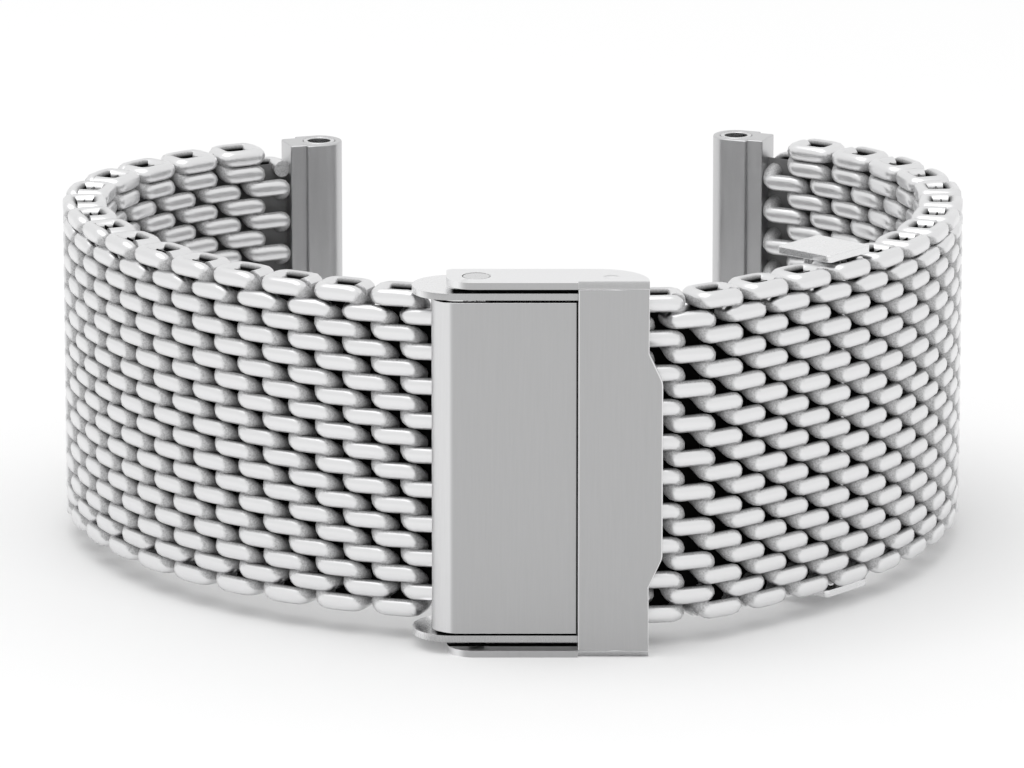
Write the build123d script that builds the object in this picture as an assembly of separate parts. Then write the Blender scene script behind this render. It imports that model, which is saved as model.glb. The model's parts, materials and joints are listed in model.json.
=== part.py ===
# Milanese mesh watch band on its edge: two woven steel straps, a fold-over clasp and a safety catch.
# Millimetres. X runs along the clasp, +Y goes from the clasp towards the wrist, +Z is the band's width.
# Depths through the clasp are counted from the catch's front face.
import os
from math import cos, radians, sin

from build123d import *

# Woven mesh
band_width = 22.0
mesh_thickness = 3.1
coil_spacing = 1.95
loop_height = 1.06
loop_gap = 0.06
core_length = 0.3
core_thickness = 2.2
high_coil_loops = 10
low_coil_loops = 9

# Plan of the straps: first heading, a straight run, then arcs of the mid-line (radius, turn in degrees)
left_heading = 13.2
left_straight = 0.78
left_arcs = [(30.8, 64.4), (14.6, 52.8), (22.1, 41.5)]
right_heading = 0.0
right_straight = 5.16
right_arcs = [(8.1, 39.6), (102.8, 4.6), (30.3, 44.3), (17.9, 82.2)]
left_coil_counts = [7, 6, 6, 6, 6]
right_coil_counts = [13, 5, 5, 5, 5]
right_tail_x = 3.52

# End pieces and the tubes that take the watch's spring bars
end_piece_length = 4.0
end_piece_thickness = 3.2
end_throat_length = 1.1
end_throat_thickness = 2.4
end_gap = 0.06
tube_radius = 1.1
tube_bore_radius = 0.8
tube_fit = 0.02

# Safety catch
catch_sheet = 0.45
catch_ear_depth = 3.9
catch_ear_gap = 0.4
catch_pivot_x = -2.3
catch_band_left = 4.27
catch_band_right = 8.87
catch_ear_reach = 1.95
catch_fold_radius = 0.5
ear_front_radius = 1.8
ear_tip_radius = 0.5
ear_back_radius = 3.3
tab_reach = 0.89
tab_root_half = 7.8
tab_tip_half = 5.9
tab_corner_radius = 1.2
detent_x = 6.4
detent_depth_in = 1.6
detent_radius = 0.58
detent_height = 0.22
detent_dish = 0.15

# Catch rivets
rivet_radius = 0.5
rivet_head_radius = 0.91
rivet_head_height = 0.2
rivet_head_edge = 0.1

# Frame and cover
catch_to_cover = 0.1
cover_thickness = 0.5
cover_side_gap = 0.14
cover_right_x = 8.3
cover_curl_x = -3.56
cover_curl_radius = 1.72
cover_curl_front = 270.0
cover_curl_turn = 75.0
wall_sheet = 0.46
wall_side_gap = 0.22
wall_setback = 0.05
wall_left_x = -6.5
wall_right_x = 8.4
wall_past_link_pin = 0.75
wall_corner_radius = 0.8
web_thickness = 0.35
web_left_x = -1.7
web_right_x = 6.5
blind_hole_share = 0.65

# Blades and their hinges
blade_gap = 0.1
upper_blade_thickness = 0.5
upper_blade_side_gap = 0.3
knuckle_radius = 0.58
knuckle_to_mesh = 0.17
fold_upper_x = 7.6
fold_lower_x = -2.6
lower_blade_width = 14.0
lower_blade_thickness = 0.7
lower_blade_to_mesh = 0.2
riser_thickness = 0.6
riser_bend_radius = 0.5
knuckle_side_gap = 0.1
knuckle_swing_gap = 0.15
hinge_pin_radius = 0.32

# Link pin at the left strap and sizing bracket on the right strap
link_pin_x = -4.86
link_pin_drop = 1.0
link_pin_in_coil = 0.5
mesh_pin_radius = 0.4
bracket_coil_number = 11
bracket_length = 4.3
bracket_sheet = 0.5
bracket_side_gap = 0.15
bracket_outer_reach = 0.8
bracket_inner_reach = 3.7
bracket_corner_radius = 0.3
bracket_pin_depth = 2.75
bracket_bar_start = 0.95
bracket_bar_thickness = 0.6

# Fits
running_fit = 0.03
seat_fit = 0.01
overrun = 1.0

# Places that follow from the sizes above
loop_pitch = (band_width - loop_height) / (high_coil_loops - 1)
loop_length = 2 * (coil_spacing - core_length / 2 - loop_gap)
cover_front = catch_sheet + catch_to_cover
web_front = cover_front + cover_thickness
hinge_depth = web_front + web_thickness + blade_gap + upper_blade_thickness / 2
mesh_front = hinge_depth + knuckle_radius + knuckle_to_mesh
mesh_mid = mesh_front + mesh_thickness / 2
link_pin_depth = mesh_mid + link_pin_drop
wall_inner_z = band_width / 2 + wall_side_gap
wall_outer_z = wall_inner_z + wall_sheet
ear_inner_z = wall_outer_z + catch_ear_gap
ear_outer_z = ear_inner_z + catch_sheet
wall_front = cover_front + wall_setback
wall_back = link_pin_depth + wall_past_link_pin
lower_blade_near = mesh_thickness / 2 + lower_blade_to_mesh
lower_blade_far = lower_blade_near + lower_blade_thickness
catch_pivot_depth = catch_ear_depth / 2
catch_ear_left = catch_pivot_x - catch_ear_reach
dish_radius = (detent_radius**2 + detent_dish**2) / (2 * detent_dish)


class Strap:
    """One strap's plan: its mid-line from a start point, its coils and its end."""

    def __init__(self, side, start, heading, straight, arcs, first_coil, groups):
        self.side = side
        self.start_x, self.start_depth = start
        self.heading = radians(heading)
        self.runs = [(None, straight)] + [(radius, radius * radians(turn)) for radius, turn in arcs]
        self.first_coil = first_coil
        self.groups = groups

    def point(self, distance, inward=0.0):
        """Plan position and heading in degrees at a distance along the mid-line, moved inward."""
        x, y, heading = 0.0, 0.0, self.heading
        left = distance
        for number, (radius, length) in enumerate(self.runs):
            last = number == len(self.runs) - 1
            step = left if last or left < length else length
            if radius is None:
                x += step * cos(heading)
                y += step * sin(heading)
            else:
                turn = step / radius
                x += radius * (sin(heading + turn) - sin(heading))
                y += radius * (cos(heading) - cos(heading + turn))
                heading += turn
            left -= step
            if left <= 0:
                break
        x -= inward * sin(heading)
        y += inward * cos(heading)
        degrees = heading * 180 / radians(180)
        return self.start_x + self.side * x, self.start_depth + y, degrees

    def station(self, distance, inward=0.0):
        """Location there, with local +X pointing along the strap away from the clasp."""
        x, y, degrees = self.point(distance, inward)
        turn = degrees if self.side > 0 else 180 - degrees
        return Location((x, y, 0), (0, 0, turn))

    def coil_distance(self, number):
        return self.first_coil + number * coil_spacing

    def coil_count(self):
        return sum(self.groups)

    def hinge_distances(self):
        """Where one coil group hooks into the next."""
        found = []
        count = 0
        for group in self.groups[:-1]:
            count += group
            found.append(self.coil_distance(count) - coil_spacing / 2)
        return found

    def end_distance(self):
        return self.coil_distance(self.coil_count() - 1) + loop_length / 2 + end_gap

    def ribbon(self, start, end, near, far, half_height):
        """A plate that follows the strap between two distances, at two inward offsets."""
        stops = [start]
        reached = 0.0
        for radius, length in self.runs:
            reached += length
            if start < reached < end:
                stops.append(reached)
        stops.append(end)
        edges = []
        for offset in (near, far):
            for first, second in zip(stops[:-1], stops[1:]):
                ends = [self.point(place, offset)[:2] for place in (first, (first + second) / 2, second)]
                if second <= self.runs[0][1]:
                    edges.append(Line(ends[0], ends[2]))
                else:
                    edges.append(ThreePointArc(*ends))
        for place in (start, end):
            edges.append(Line(self.point(place, near)[:2], self.point(place, far)[:2]))
        return extrude(make_face(edges), half_height, both=True)


left_start = (link_pin_x, link_pin_depth)
right_start = (right_tail_x, mesh_mid)
left_strap = Strap(-1, left_start, left_heading, left_straight, left_arcs, link_pin_in_coil, left_coil_counts)
right_strap = Strap(1, right_start, right_heading, right_straight, right_arcs, 0.0, right_coil_counts)


def slab(x_low, x_high, y_low, y_high, z_low, z_high):
    """A block between limits."""
    middle = ((x_low + x_high) / 2, (y_low + y_high) / 2, (z_low + z_high) / 2)
    return Pos(*middle) * Box(x_high - x_low, y_high - y_low, z_high - z_low)


def rod(x, y, radius, z_low, z_high):
    """A round bar along the band's width."""
    return Pos(x, y, (z_low + z_high) / 2) * Cylinder(radius, z_high - z_low)


def both_sides(shape):
    """The shape and its mirror image across the band's middle."""
    return [shape, mirror(shape, Plane.XY)]


def coil(loops):
    """One flattened wire coil: its loops in a row on a thin core."""
    height = (loops - 1) * loop_pitch + loop_height
    loop = extrude(SlotOverall(loop_length, mesh_thickness), loop_height / 2, both=True)
    rows = [Pos(0, 0, (row - (loops - 1) / 2) * loop_pitch) * loop for row in range(loops)]
    return Box(core_length, core_thickness, height) + rows


def mesh_groups(strap, pin_coil, pin_distance):
    """The strap's coils by group, high and low in turn, with a channel for the pin that runs through."""
    shapes = [coil(low_coil_loops), coil(high_coil_loops)]
    channel = Cylinder(mesh_pin_radius + running_fit, band_width + overrun)
    groups = []
    number = 0
    for group in strap.groups:
        members = []
        for place in range(group):
            member = strap.station(strap.coil_distance(number)) * shapes[number % 2]
            if abs(number - pin_coil) <= 1:
                member = member - strap.station(pin_distance) * channel
            members.append(member)
            number += 1
        groups.append(members)
    return groups


def end_piece(strap):
    """The solid end with a round nose, a recessed throat beside the mesh and a bore for the tube."""
    half = end_piece_thickness / 2
    nose = end_piece_length - half
    shape = slab(end_throat_length, nose, -half, half, -band_width / 2, band_width / 2)
    shape = shape + rod(nose, 0, half, -band_width / 2, band_width / 2)
    throat = end_throat_thickness / 2
    shape = shape + slab(0, end_throat_length, -throat, throat, -band_width / 2, band_width / 2)
    shape = shape - rod(nose, 0, tube_radius + tube_fit, -band_width / 2 - overrun, band_width / 2 + overrun)
    return strap.station(strap.end_distance()) * shape


def bar_tube(strap):
    """The tube in the end piece that the watch's spring bar goes through."""
    nose = end_piece_length - end_piece_thickness / 2
    shape = rod(nose, 0, tube_radius, -band_width / 2, band_width / 2)
    shape = shape - rod(nose, 0, tube_bore_radius, -band_width / 2 - overrun, band_width / 2 + overrun)
    return strap.station(strap.end_distance()) * shape


def safety_catch():
    """The folded outer sheet: a band over the front, two ears, a lift tab and two detents."""
    folded = slab(catch_band_left, catch_band_right, 0, catch_ear_depth, -ear_outer_z, ear_outer_z)
    back = folded.edges().filter_by(Axis.Z).sort_by_distance((catch_band_right, catch_ear_depth, 0))[0]
    folded = fillet(back, ear_back_radius)
    folded = fillet(folded.edges().filter_by(Axis.X).group_by(Axis.Y)[0], catch_fold_radius)
    low = catch_band_left - overrun
    high = catch_band_right + overrun
    inside = slab(low, high, catch_sheet, catch_ear_depth + overrun, -ear_inner_z, ear_inner_z)
    ear = slab(catch_ear_left, catch_band_left, 0, catch_ear_depth, ear_inner_z, ear_outer_z)
    for depth, radius in ((0, ear_front_radius), (catch_ear_depth, ear_tip_radius)):
        corner = ear.edges().filter_by(Axis.Z).sort_by_distance((catch_ear_left, depth, ear_outer_z))[0]
        ear = fillet(corner, radius)
    shape = folded - inside + both_sides(ear)
    tab_tip = catch_band_right + tab_reach
    outline = Polyline(
        (catch_band_right, tab_root_half),
        (tab_tip, tab_tip_half),
        (tab_tip, -tab_tip_half),
        (catch_band_right, -tab_root_half),
        close=True,
    )
    tab = extrude(Plane.XZ * make_face(outline), -catch_sheet)
    tips = tab.edges().filter_by(Axis.Y).group_by(Axis.X)[-1]
    tab = fillet(tips, tab_corner_radius)
    shape = shape + tab
    hole = rod(catch_pivot_x, catch_pivot_depth, rivet_radius + running_fit, 0, ear_outer_z + overrun)
    sink_floor = ear_outer_z - rivet_head_height - running_fit
    sink = rod(catch_pivot_x, catch_pivot_depth, rivet_head_radius + running_fit, sink_floor, ear_outer_z + overrun)
    dish = Pos(detent_x, detent_depth_in, ear_outer_z + dish_radius - detent_dish) * Sphere(dish_radius)
    shape = shape - both_sides(hole) - both_sides(sink) - both_sides(dish)
    bump = rod(detent_x, detent_depth_in, detent_radius, ear_inner_z - detent_height, ear_inner_z)
    return shape + both_sides(bump)


def catch_rivets():
    """Two flush rivets that the catch turns on."""
    shank = rod(catch_pivot_x, catch_pivot_depth, rivet_radius, wall_inner_z, ear_outer_z)
    head_floor = ear_outer_z - rivet_head_height
    head = rod(catch_pivot_x, catch_pivot_depth, rivet_head_radius, head_floor, ear_outer_z)
    head = fillet(head.edges().group_by(Axis.Z)[-1], rivet_head_edge)
    return both_sides(shank + head)


def clasp_frame():
    """Two side walls joined by a web, with holes for the rivets, the upper hinge pin and the link pin."""
    half_depth = (wall_back - wall_front) / 2
    tip_x = wall_left_x + half_depth
    tip_depth = wall_front + half_depth
    wall = slab(tip_x, wall_right_x, wall_front, wall_back, wall_inner_z, wall_outer_z)
    corners = wall.edges().filter_by(Axis.Z).group_by(Axis.X)[-1]
    wall = fillet(corners, wall_corner_radius)
    wall = wall + rod(tip_x, tip_depth, half_depth, wall_inner_z, wall_outer_z)
    web_back = web_front + web_thickness
    shape = slab(web_left_x, web_right_x, web_front, web_back, -wall_inner_z, wall_inner_z)
    shape = shape + both_sides(wall)
    rivet_hole = rod(catch_pivot_x, catch_pivot_depth, rivet_radius + seat_fit, wall_inner_z, wall_outer_z)
    hinge_hole = rod(fold_upper_x, hinge_depth, hinge_pin_radius + seat_fit, wall_inner_z, wall_outer_z)
    blind_end = wall_inner_z + wall_sheet * blind_hole_share
    link_hole = rod(link_pin_x, link_pin_depth, mesh_pin_radius + seat_fit, wall_inner_z, blind_end)
    return shape - both_sides(rivet_hole) - both_sides(hinge_hole) - both_sides(link_hole)


def cover_plate():
    """The satin plate over the web, whose left edge curls back round the mesh's end."""
    half_width = wall_inner_z - cover_side_gap
    shape = slab(cover_curl_x, cover_right_x, cover_front, web_front, -half_width, half_width)
    centre_depth = cover_front + cover_curl_radius
    inner_radius = cover_curl_radius - cover_thickness
    start = cover_curl_front - cover_curl_turn
    outer = CenterArc((cover_curl_x, centre_depth), cover_curl_radius, start, cover_curl_turn)
    inner = CenterArc((cover_curl_x, centre_depth), inner_radius, start, cover_curl_turn)
    ends = [Line(outer @ 0, inner @ 0), Line(outer @ 1, inner @ 1)]
    curl = extrude(make_face([outer, inner] + ends), half_width, both=True)
    return shape + curl


def upper_blade():
    """The short blade between the two fold hinges."""
    half_width = band_width / 2 + wall_side_gap - upper_blade_side_gap
    low = hinge_depth - upper_blade_thickness / 2
    high = hinge_depth + upper_blade_thickness / 2
    shape = slab(fold_lower_x, fold_upper_x, low, high, -half_width, half_width)
    shape = shape + rod(fold_upper_x, hinge_depth, knuckle_radius, -half_width, half_width)
    shape = shape + rod(fold_lower_x, hinge_depth, knuckle_radius, -half_width, half_width)
    gap_half = lower_blade_width / 2 + knuckle_side_gap
    swing = knuckle_radius + knuckle_swing_gap
    notch = slab(
        fold_lower_x - swing, fold_lower_x + swing, hinge_depth - swing, hinge_depth + swing, -gap_half, gap_half
    )
    shape = shape - notch
    running = rod(fold_upper_x, hinge_depth, hinge_pin_radius + running_fit, -half_width, half_width)
    seated = rod(fold_lower_x, hinge_depth, hinge_pin_radius + seat_fit, -half_width, half_width)
    return shape - running - seated


def lower_blade():
    """The long curved blade under the right strap, from its riser at the lower hinge to the bracket."""
    half_width = lower_blade_width / 2
    riser_left = fold_lower_x - riser_thickness / 2
    start = riser_left - right_tail_x
    end = right_strap.coil_distance(bracket_coil_number)
    shape = right_strap.ribbon(start, end, lower_blade_near, lower_blade_far, half_width)
    floor = mesh_mid + lower_blade_far
    riser = slab(riser_left, riser_left + riser_thickness, hinge_depth, floor, -half_width, half_width)
    shape = shape + riser
    bend = shape.edges().filter_by(Axis.Z).sort_by_distance((riser_left, floor, 0))[0]
    shape = fillet(bend, riser_bend_radius)
    shape = shape + rod(fold_lower_x, hinge_depth, knuckle_radius, -half_width, half_width)
    bore_radius = hinge_pin_radius + running_fit
    shape = shape - rod(fold_lower_x, hinge_depth, bore_radius, -half_width, half_width)
    knuckle = right_strap.station(end, bracket_pin_depth) * Cylinder(knuckle_radius, lower_blade_width)
    bore = right_strap.station(end, bracket_pin_depth) * Cylinder(bore_radius, lower_blade_width)
    return shape + knuckle - bore


def size_bracket():
    """The bracket that fixes the right strap to the lower blade: two ears and a bar under the mesh."""
    ear_low = band_width / 2 + bracket_side_gap
    ear_high = ear_low + bracket_sheet
    half = bracket_length / 2
    ear = slab(-half, half, -bracket_outer_reach, bracket_inner_reach, ear_low, ear_high)
    ear = fillet(ear.edges().filter_by(Axis.Z), bracket_corner_radius)
    bar_far = lower_blade_near + bracket_bar_thickness
    bar = slab(bracket_bar_start, half, lower_blade_near, bar_far, -ear_low, ear_low)
    shape = bar + both_sides(ear)
    blind_end = ear_low + bracket_sheet * blind_hole_share
    for depth, radius in ((0, mesh_pin_radius), (bracket_pin_depth, hinge_pin_radius)):
        shape = shape - rod(0, depth, radius + seat_fit, -blind_end, blind_end)
    return right_strap.station(right_strap.coil_distance(bracket_coil_number)) * shape


def bracket_rod(depth, radius):
    """A pin between the bracket's ears at a depth inward of the mesh's mid-line."""
    reach = band_width / 2 + bracket_side_gap + bracket_sheet * blind_hole_share
    place = right_strap.station(right_strap.coil_distance(bracket_coil_number), depth)
    return place * Cylinder(radius, 2 * reach)


def build():
    """Every node by name, still in the clasp's own frame."""
    nodes = {
        "safety_catch": safety_catch(),
        "catch_rivets": catch_rivets(),
        "clasp_frame": clasp_frame(),
        "cover_plate": cover_plate(),
        "upper_blade": upper_blade(),
        "lower_blade": lower_blade(),
        "size_bracket": size_bracket(),
        "sizing_pin": bracket_rod(0, mesh_pin_radius),
        "bracket_pin": bracket_rod(bracket_pin_depth, hinge_pin_radius),
    }
    blade_half = band_width / 2 + wall_side_gap - upper_blade_side_gap
    nodes["upper_hinge_pin"] = rod(fold_upper_x, hinge_depth, hinge_pin_radius, -wall_outer_z, wall_outer_z)
    nodes["lower_hinge_pin"] = rod(fold_lower_x, hinge_depth, hinge_pin_radius, -blade_half, blade_half)
    link_reach = wall_inner_z + wall_sheet * blind_hole_share
    nodes["link_pin"] = rod(link_pin_x, link_pin_depth, mesh_pin_radius, -link_reach, link_reach)
    pin_places = {"left": (0, 0.0), "right": (bracket_coil_number, right_strap.coil_distance(bracket_coil_number))}
    for name, strap in (("left", left_strap), ("right", right_strap)):
        for number, members in enumerate(mesh_groups(strap, *pin_places[name]), start=1):
            nodes[f"{name}_mesh_{number}"] = members
        nodes[f"{name}_end_piece"] = end_piece(strap)
        nodes[f"{name}_bar_tube"] = bar_tube(strap)
    return nodes


def as_compound(shape):
    """One compound of the node's solids."""
    members = shape if isinstance(shape, list) else [shape]
    return Compound([solid for member in members for solid in member.solids()])


node_shapes = {name: as_compound(shape) for name, shape in build().items()}
box = Compound(list(node_shapes.values())).bounding_box()
centring = Pos(-box.center().X, -box.center().Y, -box.min.Z)

os.makedirs("parts", exist_ok=True)
for node_name, node_shape in node_shapes.items():
    export_step(centring * node_shape, f"parts/{node_name}.step")
print("box", box.size, "centred by", -box.center().X, -box.center().Y, -box.min.Z)
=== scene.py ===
from math import cos, pi, radians, sin

import bmesh
import bpy
from bpy.props import FloatProperty, FloatVectorProperty, IntProperty, PointerProperty
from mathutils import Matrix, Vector
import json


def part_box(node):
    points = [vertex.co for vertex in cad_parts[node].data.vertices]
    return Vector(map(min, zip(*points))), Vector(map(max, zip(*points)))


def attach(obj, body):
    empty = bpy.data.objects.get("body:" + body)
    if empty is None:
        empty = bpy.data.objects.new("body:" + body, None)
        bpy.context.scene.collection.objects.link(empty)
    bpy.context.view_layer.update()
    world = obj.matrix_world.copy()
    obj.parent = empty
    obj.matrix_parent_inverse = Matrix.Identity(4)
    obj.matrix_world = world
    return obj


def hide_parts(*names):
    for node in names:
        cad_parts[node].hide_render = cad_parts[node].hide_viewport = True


bl_info = {
    "name": "Milanese mesh band",
    "version": (1, 0, 0),
    "blender": (4, 5, 0),
    "location": "View3D > Sidebar > Mesh Band",
    "description": "Dresses a woven steel watch band: pressed wire coils, "
                   "a fold-over clasp and its studio",
    "category": "Object",
}

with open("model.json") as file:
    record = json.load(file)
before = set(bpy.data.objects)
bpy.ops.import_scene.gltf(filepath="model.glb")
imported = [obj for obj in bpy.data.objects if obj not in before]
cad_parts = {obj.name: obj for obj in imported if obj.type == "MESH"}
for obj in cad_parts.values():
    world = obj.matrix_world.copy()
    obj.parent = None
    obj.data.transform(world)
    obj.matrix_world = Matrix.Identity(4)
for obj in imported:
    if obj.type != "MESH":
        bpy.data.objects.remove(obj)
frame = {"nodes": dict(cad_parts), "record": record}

# Lengths are written in millimetres and turned into the scene's metres
MM = 0.001

# The camera's picture
PICTURE_WIDTH_PX = 1024
SENSOR_WIDTH_MM = 36.0
CLIP_START = 10 * MM
CLIP_END = 20.0

# Places on the clasp along x, counted from its own origin, and the radius of the catch's folds
TAB_EDGE_X = 9.76 * MM
CATCH_EDGE_X = 4.27 * MM
CATCH_FOLD = 0.5 * MM

# The clasp's place: x runs along it, y inward from the catch's front face and z across the band
CATCH_LOW, CATCH_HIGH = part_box("safety_catch")
COVER_LOW, COVER_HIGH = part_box("cover_plate")
BAND_MIDDLE = (CATCH_LOW.z + CATCH_HIGH.z) / 2
CLASP_ORIGIN = Vector((CATCH_HIGH.x - TAB_EDGE_X, CATCH_LOW.y, BAND_MIDDLE))

# Where each dressed node rides
NODE_BODY = {
    node: body for body, nodes in frame["record"]["behaviour"]["bodies"].items() for node in nodes}

# The straps' plan repeats the part's source: start, first heading, straight run, then arcs, each
# with its radius and turn
STRAP_PLANS = {
    "left": {
        "side": -1, "start": (-4.86 * MM, 5.05 * MM), "heading": radians(13.2),
        "straight": 0.78 * MM,
        "arcs": [(30.8 * MM, radians(64.4)), (14.6 * MM, radians(52.8)),
                 (22.1 * MM, radians(41.5))],
        "first_coil": 0.5 * MM, "groups": [7, 6, 6, 6, 6],
    },
    "right": {
        "side": 1, "start": (3.52 * MM, 4.05 * MM), "heading": 0.0, "straight": 5.16 * MM,
        "arcs": [(8.1 * MM, radians(39.6)), (102.8 * MM, radians(4.6)),
                 (30.3 * MM, radians(44.3)), (17.9 * MM, radians(82.2))],
        "first_coil": 0.0, "groups": [13, 5, 5, 5, 5],
    },
}

# Turns of wire past the first and the last loop, on high and on low coils
HIGH_LEAD = 0.78
LOW_LEAD = 0.3

# The painted light and shade of the weave. Every pair says where a measure starts to count and
# where it is full. A facing goes from -1 outward to 1 inward, and a layer goes from -1 at the
# outer face to 1 at the inner one.
FACING_NORMAL = (-0.35, 0.35)
OPEN_FACING = (-0.5, 0.0)
SHOWN_NORMAL = (-0.85, -0.35)
GROOVE_NORMAL = (0.955, 1.0)
RIM_HEIGHT = (-0.2 * MM, 0.25 * MM)
INNER_LAYER = (0.0, 0.3)
INNER_FACING = (-0.6, 0.1)

# The core is a dark sheet of painted shade inside each coil. Its inner side keeps this share of the
# inner tone, and it stands over the last loop's mid-line by this share of the wire's radius
CORE_TONE = 0.35
CORE_OVERHANG = 0.5

# The grain of the wire's bends: where a bend starts and is full, then how strong each effect is
BEND_GRAIN = (0.03, 0.14)
BEND_NOISE = {"Scale": 9000.0, "Detail": 3.0, "Roughness": 0.6}
SPECKLE_NOISE = (0.3, 0.7)
SPECKLE_TINT = (0.55, 1.0)
BEND_ROUGHNESS = (0.3, 0.55)
BEND_BUMP = 0.3
BEND_SCATTER = 0.7

# Brushing: its noise, how far that goes round the tint and the roughness, and its depth
BRUSH_NOISE = {"Scale": 1.0, "Detail": 4.0, "Roughness": 0.65}
BRUSH_TINT = (0.94, 1.06)
BRUSH_ROUGHNESS = (0.8, 1.25)
RELIEF_DEPTH = 0.02 * MM

# The brushing's cells in a metre along x, y and z, and the strength of its bumps
CLASP_GRAIN = ((9000.0, 9000.0, 300.0), 0.05)
BLADE_GRAIN = ((400.0, 400.0, 9000.0), 0.1)
BRACKET_GRAIN = ((900.0, 900.0, 6000.0), 0.03)
PIN_GRAIN = ((3000.0, 3000.0, 9000.0), 0.05)
END_GRAIN = ((2000.0, 2000.0, 300.0), 0.1)

SATIN_ROUGHNESS = 0.34
END_ROUGHNESS = 0.32
POLISHED_ROUGHNESS = 0.26

# Satin finish and painted shade of the faces that look to the front: how squarely a face looks
# to the front where they start and where they are full
COVER_FRONT_SHADE = (0.95, 0.995)
CATCH_FRONT_SHADE = (0.8, 0.98)
FRAME_FRONT_SHADE = (0.6, 0.9)
RIVET_FRONT_SHADE = (0.95, 0.99)

# The cover's painted shade: its long sides by their normals, and a painted shadow line beside the
# catch's edge
COVER_SIDE_NORMAL = (0.75, 0.9)
CATCH_LINE_BACK = 0.05 * MM
CATCH_LINE_WIDTH = (0.1 * MM, 0.03 * MM)

# The strip of painted shade inside the catch's ears, by its depth behind the catch's front
EAR_NORMAL = (0.4, 0.7)
EAR_STRIP_START = (0.95 * MM, 1.15 * MM)
EAR_STRIP_END = (2.2 * MM, 1.7 * MM)

# The walls' painted shade: inside, beside the cover, and outside, behind the ears' front edges
WALL_INNER_NORMAL = (-0.3, -0.6)
BESIDE_COVER_START = (0.0, 0.4 * MM)
BESIDE_COVER_DEPTH = (0.2 * MM, 0.0)
WALL_OUTER_NORMAL = (0.7, 0.9)
UNDER_EAR_START = (0.1 * MM, 0.5 * MM)

# The rivets' painted shade: the shank from this far under the ear's face, and the head's edge
RIVET_HEAD = 0.25 * MM
RIVET_SHANK = (0.05 * MM, 0.0)
RIVET_EDGE_NORMAL = (0.96, 0.7)
RIVET_EDGE_SHADE = 0.85

# Cleaning and bevelling of the solids' meshes
WELD_DISTANCE = 0.0005 * MM
FLAT_ANGLE = radians(0.5)
OUTLINE_ANGLE = radians(60)
OUTLINE_TOLERANCE = 0.002 * MM
OUTLINE_SEGMENTS = 3
BEVEL_ANGLE = radians(40)
BEVEL_SEGMENTS = 2
SHARP_ANGLE = radians(46)
LARGE_FACE_WEIGHT = 100

# The studio: half the floor's side, and the lamp's sides and place, from which it looks at the
# origin
FLOOR_REACH = 3.0
LAMP_WIDTH = 0.45
LAMP_DEPTH = 0.35
LAMP_PLACE = Vector((-0.08, -0.08, 0.45))
WHITE = (1.0, 1.0, 1.0, 1.0)


class StrapSizes(bpy.types.PropertyGroup):
    """Sizes of the woven wire."""

    band_width: FloatProperty(
        name="Band width", description="Width of the woven band",
        default=22.0 * MM, unit="LENGTH", precision=5)
    coil_spacing: FloatProperty(
        name="Coil spacing", description="Distance from one coil to the next along the strap",
        default=1.95 * MM, unit="LENGTH", precision=5)
    loops: IntProperty(
        name="Loops", description="Loops of a full coil; every second coil has one loop less",
        default=10, min=3)
    wire_width: FloatProperty(
        name="Wire width", description="Width of the wire across the band",
        default=1.15 * MM, unit="LENGTH", precision=5)
    mesh_thickness: FloatProperty(
        name="Mesh thickness", description="Thickness of the woven band over its pressed faces",
        default=3.02 * MM, unit="LENGTH", precision=5)
    loop_length: FloatProperty(
        name="Loop length", description="Length of one loop along the strap, outside",
        default=3.74 * MM, unit="LENGTH", precision=5)
    squareness_share: FloatProperty(
        name="Squareness",
        description="Exponent of the loop's round: 1 is an ellipse, less is squarer",
        default=0.45, min=0.3, max=1.0)
    lean: FloatProperty(
        name="Lean",
        description="How much of the drop the bends take: more than 1 tilts the front legs back",
        default=1.15, min=0.0, max=2.0)
    # The core is a sheet of painted shade inside each coil, where the weave's gaps would show
    # through
    core_length: FloatProperty(
        name="Core length", description="Length along the strap of the dark inside of a coil",
        default=1.9 * MM, unit="LENGTH", precision=5)
    last_core_length: FloatProperty(
        name="Last core length",
        description="The same in the groups at the end pieces, whose throats it reaches into",
        default=3.7 * MM, unit="LENGTH", precision=5)
    core_thickness: FloatProperty(
        name="Core thickness", description="Thickness of the dark inside of a coil",
        default=0.1 * MM, unit="LENGTH", precision=5)
    press_depth: FloatProperty(
        name="Press depth", description="Depth over which the wire's outside is pressed flat",
        default=0.2 * MM, unit="LENGTH", precision=5)
    press_share: FloatProperty(
        name="Press", description="Share of that depth that is left after pressing",
        default=0.25, min=0.0, max=1.0)
    turn_samples: IntProperty(
        name="Turn samples", description="Points along one turn of wire", default=24, min=12)
    wire_sides: IntProperty(
        name="Wire sides", description="Sides of the wire's section", default=12, min=6)


class EdgeSizes(bpy.types.PropertyGroup):
    """Broken edges of the sheet parts and the pins."""

    sheet_edge: FloatProperty(
        name="Sheet edge", description="Bevel on the edges of the cover, the frame and the bracket",
        default=0.05 * MM, unit="LENGTH", precision=5)
    catch_edge: FloatProperty(
        name="Catch edge", description="Bevel on the outline of the safety catch's front",
        default=0.14 * MM, unit="LENGTH", precision=5)
    blade_edge: FloatProperty(
        name="Blade edge", description="Bevel on the edges of the blades",
        default=0.07 * MM, unit="LENGTH", precision=5)
    end_edge: FloatProperty(
        name="End edge", description="Bevel on the edges of the end pieces",
        default=0.1 * MM, unit="LENGTH", precision=5)
    pin_edge: FloatProperty(
        name="Pin edge", description="Bevel on the edges of the pins, the rivets and the tubes",
        default=0.06 * MM, unit="LENGTH", precision=5)


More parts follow.
